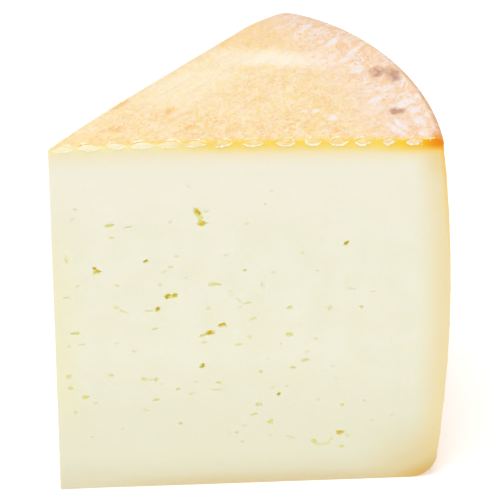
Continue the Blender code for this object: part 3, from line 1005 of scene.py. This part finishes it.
def lay_strand(shape, points, thickness):
    """Adds a closed strand along points, thick in its middle and thin at its ends."""
    rings = []
    for number, point in enumerate(points):
        share = number / (len(points) - 1)
        before = points[max(number - 1, 0)]
        after = points[min(number + 1, len(points) - 1)]
        along = (after - before).normalized()
        proud = Vector((0, -1, 0))
        side = along.cross(proud).normalized()
        lump = 1 + STRAND_LUMPS * noise.noise(point * STRAND_LUMP_CROWDING)
        swell = STRAND_TIP_GIRTH + STRAND_SWELL * math.sin(math.pi * share) ** STRAND_SWELL_POWER
        girth = thickness * lump * swell
        ring = []
        for corner in range(STRAND_SIDES):
            turn = math.tau * corner / STRAND_SIDES
            ring.append(shape.verts.new(point + side * (girth * math.cos(turn))
                                        + proud * (girth * STRAND_FLATNESS * math.sin(turn))))
        rings.append(ring)
    for near, far in zip(rings, rings[1:]):
        for corner in range(STRAND_SIDES):
            after = (corner + 1) % STRAND_SIDES
            shape.faces.new((near[corner], near[after], far[after], far[corner]))
    shape.faces.new(rings[0][::-1])
    shape.faces.new(rings[-1])


def press_core(shape, place, length, height):
    """Adds the lumpy core of one ridge end, which fills it up to the rind."""
    crest = top_height(place)
    core = bmesh.ops.create_icosphere(shape, subdivisions=3, radius=1.0)["verts"]
    for vert in core:
        along, inward, up = vert.co
        pinch = 1 - CORE_PINCH * abs(along) ** CORE_PINCH_POWER
        seed = Vector((place, 0, 0))
        lump = 1 + CORE_LUMPS * noise.noise(vert.co * CORE_LUMP_CROWDING + seed)
        top = crest - height * CORE_MIDDLE + up * height * CORE_HALF_HEIGHT * pinch * lump
        behind = CORE_BEHIND + inward * CORE_HALF_DEPTH * lump
        vert.co = Vector((place + along * length * 0.5, behind, min(top, crest)))


def strand_points(place, length, low, back, tilt, lowest, draw):
    """The middle line of a strand from tip to tip of a ridge end: low is how far down
    the middle of its arch lies, and back how far in."""
    crest = top_height(place)
    skew = draw.uniform(*STRAND_SKEW)
    start = draw.uniform(*(LOW_STRAND_START if lowest else UPPER_STRAND_START))
    end = draw.uniform(*(LOW_STRAND_END if lowest else UPPER_STRAND_END))
    if not lowest and draw.random() < STRAND_MIRRORED:
        start, end = 1 - end, 1 - start
    seed = draw.uniform(0, 99)
    points = []
    for step in range(STRAND_STEPS + 1):
        part = start + (end - start) * step / STRAND_STEPS
        swing = math.sin(math.pi * min(part, 1.0) ** skew) if part > 0 else 0.0
        arch = swing ** STRAND_ARCH_POWER
        wobble = STRAND_WOBBLE * noise.noise(Vector((place + part * WOBBLE_CROWDING, seed, 2.0)))
        sunk = STRAND_TIP_DEPTH + (low - STRAND_RISE) * arch + wobble - tilt * (part - 0.5)
        points.append(Vector((place + length * (part - 0.5) * STRAND_OVERLAP,
                              CUT_INSET - STRAND_PROUD + back * arch, crest - max(sunk, 0.0))))
    return points


def build_plait_ends(wax_and_highlight, core, draw):
    """The cut ends of the ridges: warm cores between pale waxy strands, whose pale colour is partly a
    painted highlight.
    """
    cores, strands = bmesh.new(), bmesh.new()
    for place, length in PLAIT_ENDS:
        height = END_HEIGHT * draw.uniform(*END_HEIGHT_SPREAD)
        tilt = draw.uniform(*END_TILT)
        press_core(cores, place, length, height)
        for low, back in ((0.0, END_BACK), MIDDLE_STRAND, (height, 0.0)):
            if (low, back) == MIDDLE_STRAND and draw.random() < MIDDLE_STRAND_MISSING:
                continue
            points = strand_points(place, length, low, back, tilt, low == height, draw)
            extra = TOP_STRAND_EXTRA if low == 0.0 else 0.0
            lay_strand(strands, points, draw.uniform(*STRAND_THICKNESS) + extra)
    for shape in (cores, strands):
        bmesh.ops.recalc_face_normals(shape, faces=shape.faces)
    ends = new_piece("plait_ends", strands, (wax_and_highlight, core), 0)
    inner = new_piece("plait_cores", cores, (wax_and_highlight, core), 1)
    return join(ends, inner)


def build_rim_crumbs(wax_and_highlight, draw):
    """Pale crumbs of the last ridges, which broke when the wheel was cut."""
    shape = bmesh.new()
    wide, deep, tall = CRUMB_STRETCH
    for out, spread, upper, lower, count in CRUMB_CLUMPS:
        for number in range(count):
            crumb = bmesh.ops.create_icosphere(shape, subdivisions=2, radius=1.0)["verts"]
            size = draw.uniform(*CRUMB_SIZE)
            x = out + draw.uniform(-spread, spread)
            behind = draw.uniform(*CRUMB_BEHIND)
            middle = Vector((x, behind, top_height(x) - draw.uniform(upper, lower)))
            seed = Vector((draw.uniform(0, 50), 0, 0))
            for vert in crumb:
                lump = 1 + CRUMB_LUMPS * noise.noise(vert.co * CRUMB_LUMP_CROWDING + seed)
                grown = Vector((vert.co.x * wide, vert.co.y * deep, vert.co.z * tall))
                vert.co = middle + grown * size * lump
    bmesh.ops.recalc_face_normals(shape, faces=shape.faces)
    return new_piece("rim_crumbs", shape, (wax_and_highlight,), 0)


def build_wedge(paste, rind):
    """The wheel's slice, cut on both sides and opened where eyes show."""
    both = (paste, rind)
    wedge = new_piece("cheese_body", build_wheel_block(), both, 1)
    carve(wedge, new_piece("knife", build_knife_prism(), both, 0), "INTERSECT")
    for eyes in build_eyes(random.Random(SEED)):
        carve(wedge, new_piece("eyes", eyes, both, 0), "DIFFERENCE")
    wedge.data.shade_smooth()
    wedge.data.set_sharp_from_angle(angle=SHARP_ANGLE)
    return wedge


# Studio

CAMERA_TURN = math.radians(3.61)
CAMERA_RISE = math.radians(33.66)
CAMERA_ROLL = math.radians(0.2)
CAMERA_AWAY = 755.7
CAMERA_LENS = 225.7
CAMERA_FAR = 50.0
AIM = Vector((47.7, 0.0, 70.9))

# Floor, surround and light, in metres, watts and shares of full white
FLOOR_REACH = 6.0
FLOOR_GAP = 0.0001
FLOOR_WHITE = 0.97
FLOOR_ROUGHNESS = 0.9
FLOOR_GLOW = 0.22
SURROUND = 0.56
LIGHT_PLACE = (-0.15, -0.4, 1.45)
LIGHT_AIM = Vector((0, 0, 0.05))
LIGHT_SIZE = 0.9
LIGHT_POWER = 11.6


def build_camera():
    """A long lens, turned a little to the left of the front cut and looking down."""
    back = Vector((-math.sin(CAMERA_TURN) * math.cos(CAMERA_RISE),
                   -math.cos(CAMERA_TURN) * math.cos(CAMERA_RISE),
                   math.sin(CAMERA_RISE)))
    data = bpy.data.cameras.new("camera")
    data.lens = CAMERA_LENS
    data.clip_end = CAMERA_FAR
    camera = bpy.data.objects.new("camera", data)
    camera.location = LOW + (AIM + back * CAMERA_AWAY) * MM
    roll = Matrix.Rotation(CAMERA_ROLL, 3, "Z")
    camera.rotation_euler = (back.to_track_quat("Z", "Y").to_matrix() @ roll).to_euler()
    bpy.context.scene.collection.objects.link(camera)
    bpy.context.scene.camera = camera


def build_light():
    """A soft square light that faces the wedge from high on the left."""
    data = bpy.data.lights.new("high_left", "AREA")
    data.size = LIGHT_SIZE
    data.energy = LIGHT_POWER
    light = bpy.data.objects.new("high_left", data)
    light.location = LIGHT_PLACE
    light.rotation_euler = (Vector(LIGHT_PLACE) - LIGHT_AIM).to_track_quat("Z", "Y").to_euler()
    bpy.context.scene.collection.objects.link(light)


def build_floor():
    """A plain pale floor, a hair under the wedge."""
    shape = bmesh.new()
    bmesh.ops.create_grid(shape, x_segments=1, y_segments=1, size=FLOOR_REACH)
    mesh = bpy.data.meshes.new("floor")
    shape.to_mesh(mesh)
    shape.free()
    floor = bpy.data.objects.new("floor", mesh)
    bpy.context.scene.collection.objects.link(floor)
    pale = bpy.data.materials.new("pale_floor")
    pale.use_nodes = True
    shader = pale.node_tree.nodes["Principled BSDF"]
    shader.inputs["Base Color"].default_value = (FLOOR_WHITE, FLOOR_WHITE, FLOOR_WHITE, 1)
    shader.inputs["Roughness"].default_value = FLOOR_ROUGHNESS
    shader.inputs["Emission Color"].default_value = (1, 1, 1, 1)
    shader.inputs["Emission Strength"].default_value = FLOOR_GLOW
    mesh.materials.append(pale)
    floor.location.z = -FLOOR_GAP


def build_studio():
    """The floor, an even white surround and one soft light."""
    build_floor()
    world = bpy.data.worlds.new("surround")
    world.use_nodes = True
    world.node_tree.nodes["Background"].inputs["Color"].default_value = (1, 1, 1, 1)
    world.node_tree.nodes["Background"].inputs["Strength"].default_value = SURROUND
    bpy.context.scene.world = world
    build_light()
    bpy.context.scene.view_settings.view_transform = "Standard"


rind, wax_and_highlight = rind_finish(), wax_and_highlight_finish()
draw_ends = random.Random(SEED + 1)
wedge_piece = build_wedge(paste_finish(), rind)
plait_piece = build_plait_ends(wax_and_highlight, core_finish(), draw_ends)
crumb_piece = build_rim_crumbs(wax_and_highlight, draw_ends)
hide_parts("cheese_wedge")
for piece in (wedge_piece, plait_piece, crumb_piece):
    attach(piece, "root")

build_studio()
build_camera()
